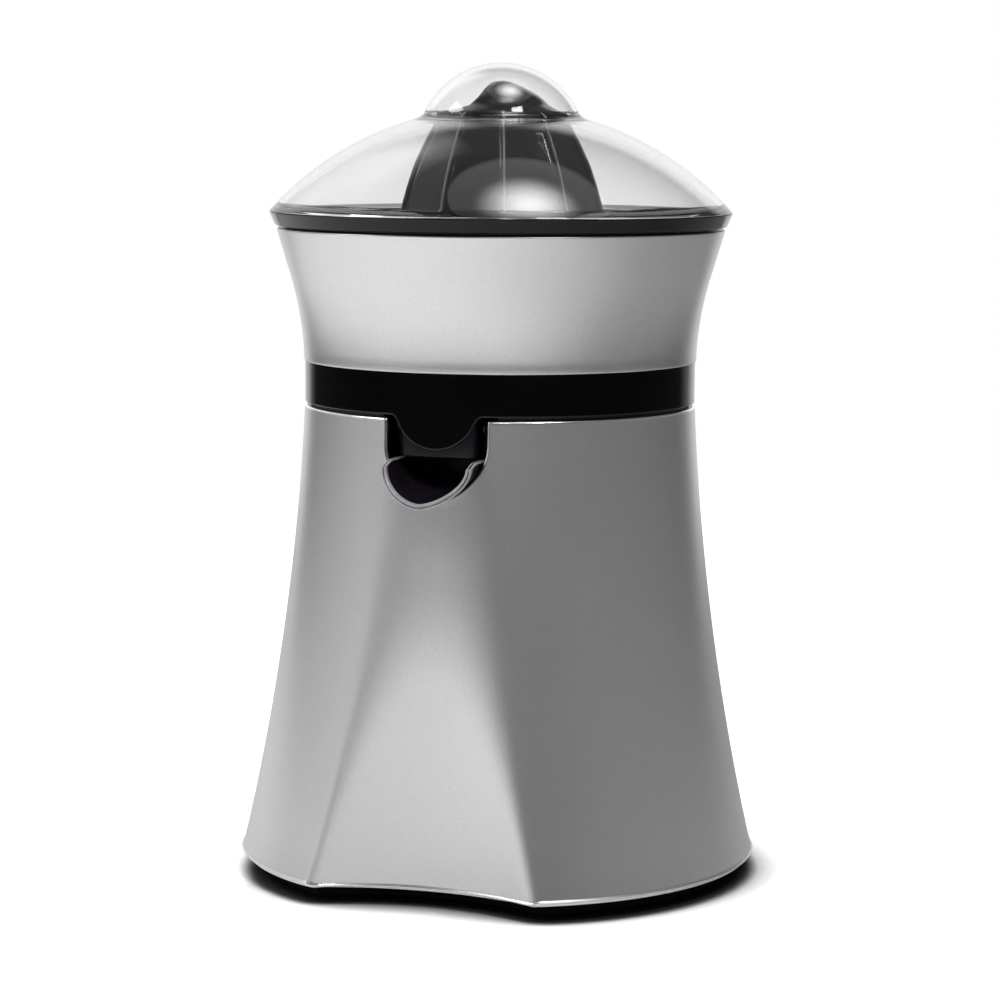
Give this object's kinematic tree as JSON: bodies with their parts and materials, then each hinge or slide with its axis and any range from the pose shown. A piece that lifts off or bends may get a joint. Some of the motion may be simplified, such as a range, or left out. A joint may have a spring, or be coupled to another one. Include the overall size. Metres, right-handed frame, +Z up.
{
  "type": "citrus press juicer",
  "caption": "Electric citrus press with a flared motor housing, lift-off bowl and skirt, strainer, ribbed cone, tilting spout and clear domed lid.",
  "frame": {"origin": "on the reamer shaft's axis, at the level of the base plate's underside and feet", "axes": "+Z up along the shaft, -Y towards the spout and the glass, +X to the right as seen from the front"},
  "size_m": [0.1918, 0.187, 0.3],
  "materials": {
    "silver_paint": "silver metallic paint on plastic, fine grain",
    "black_gloss": "high gloss",
    "black_plastic": "fine moulded texture",
    "smoke_plastic": "dark glossy plastic",
    "clear_plastic": "clear polished plastic",
    "rubber": "matt",
    "steel": "satin",
    "bronze": "sintered bronze",
    "copper": "lacquered copper wire",
    "carbon": "graphite",
    "laminations": "stacked electrical steel",
    "white_nylon": "natural nylon",
    "red_plastic": "satin"
  },
  "bodies": {
    "motor_base": {"lower_housing": "silver_paint", "base_plate": "black_plastic", "rubber_feet": "rubber", "base_screws": "steel", "motor_cover": "black_plastic", "cover_screws": "steel", "gearbox_base": "white_nylon", "gearbox_cover": "white_nylon", "gearbox_screws": "steel", "idler_pin": "steel", "upper_shaft_bush": "bronze", "shaft_seal": "rubber", "thrust_guide": "black_plastic", "return_spring": "steel", "microswitch": "black_plastic", "upper_motor_bracket": "steel", "lower_motor_bracket": "steel", "motor_bearings": "bronze", "stator_core": "laminations", "field_coils": "copper", "carbon_brushes": "carbon", "motor_bolts": "steel", "terminal_block": "white_nylon", "cord_gland": "rubber"},
    "rotor": {"rotor_core": "laminations", "motor_shaft": "steel", "commutator": "copper", "motor_pinion": "bronze", "cooling_fan": "black_plastic"},
    "idler": {"idler_gear": "white_nylon"},
    "output": {"output_gear": "white_nylon"},
    "thrust": {"thrust_cap": "white_nylon"},
    "shaft": {"drive_shaft": "steel"},
    "plunger": {"switch_plunger": "red_plastic"},
    "cone": {"reamer": "black_gloss"},
    "bowl": {"juice_bowl": "black_gloss", "upper_skirt": "silver_paint", "strainer": "black_gloss", "spout_pins": "steel"},
    "spout": {"spout": "smoke_plastic"},
    "lid": {"lid": "clear_plastic"}
  },
  "joints": [
    {"name": "rotor_spin", "type": "hinge", "parent": "motor_base", "child": "rotor", "pos_m": [0, 0.038, 0.085], "axis": [0, 0, 1], "continuous": true},
    {"name": "idler_spin", "type": "hinge", "parent": "motor_base", "child": "idler", "pos_m": [0.02644, 0.02659, 0.13], "axis": [0, 0, 1], "continuous": true},
    {"name": "output_spin", "type": "hinge", "parent": "motor_base", "child": "output", "pos_m": [0, 0, 0.136], "axis": [0, 0, 1], "continuous": true},
    {"name": "press", "type": "slide", "parent": "motor_base", "child": "thrust", "axis": [0, 0, -1], "range_m": [0, 0.003], "stiffness_N_per_m": 1500, "springref_m": -0.006, "deforming": ["return_spring"]},
    {"name": "shaft_spin", "type": "hinge", "parent": "thrust", "child": "shaft", "pos_m": [0, 0, 0.1], "axis": [0, 0, 1], "continuous": true},
    {"name": "plunger_travel", "type": "slide", "parent": "motor_base", "child": "plunger", "axis": [0, 0, -1], "range_m": [0, 0.003]},
    {"name": "reamer_lift", "type": "slide", "parent": "shaft", "child": "cone", "axis": [0, 0, 1], "range_m": [0, 0.075]},
    {"name": "bowl_lift", "type": "slide", "parent": "motor_base", "child": "bowl", "axis": [0, 0, 1], "range_m": [0, 0.075]},
    {"name": "spout_tilt", "type": "hinge", "parent": "bowl", "child": "spout", "pos_m": [0, -0.057, 0.1705], "axis": [-1, 0, 0], "range_deg": [0, 25]},
    {"name": "lid_lift", "type": "slide", "parent": "bowl", "child": "lid", "axis": [0, 0, 1], "range_m": [0, 0.065]}
  ],
  "couplings": [
    {"joint": "idler_spin", "follows": "rotor_spin", "ratio": -0.2},
    {"joint": "output_spin", "follows": "rotor_spin", "ratio": 0.05},
    {"joint": "shaft_spin", "follows": "rotor_spin", "ratio": 0.05},
    {"joint": "plunger_travel", "follows": "press", "ratio": 1},
    {"joint": "reamer_lift", "follows": "bowl_lift", "ratio": 1}
  ]
}
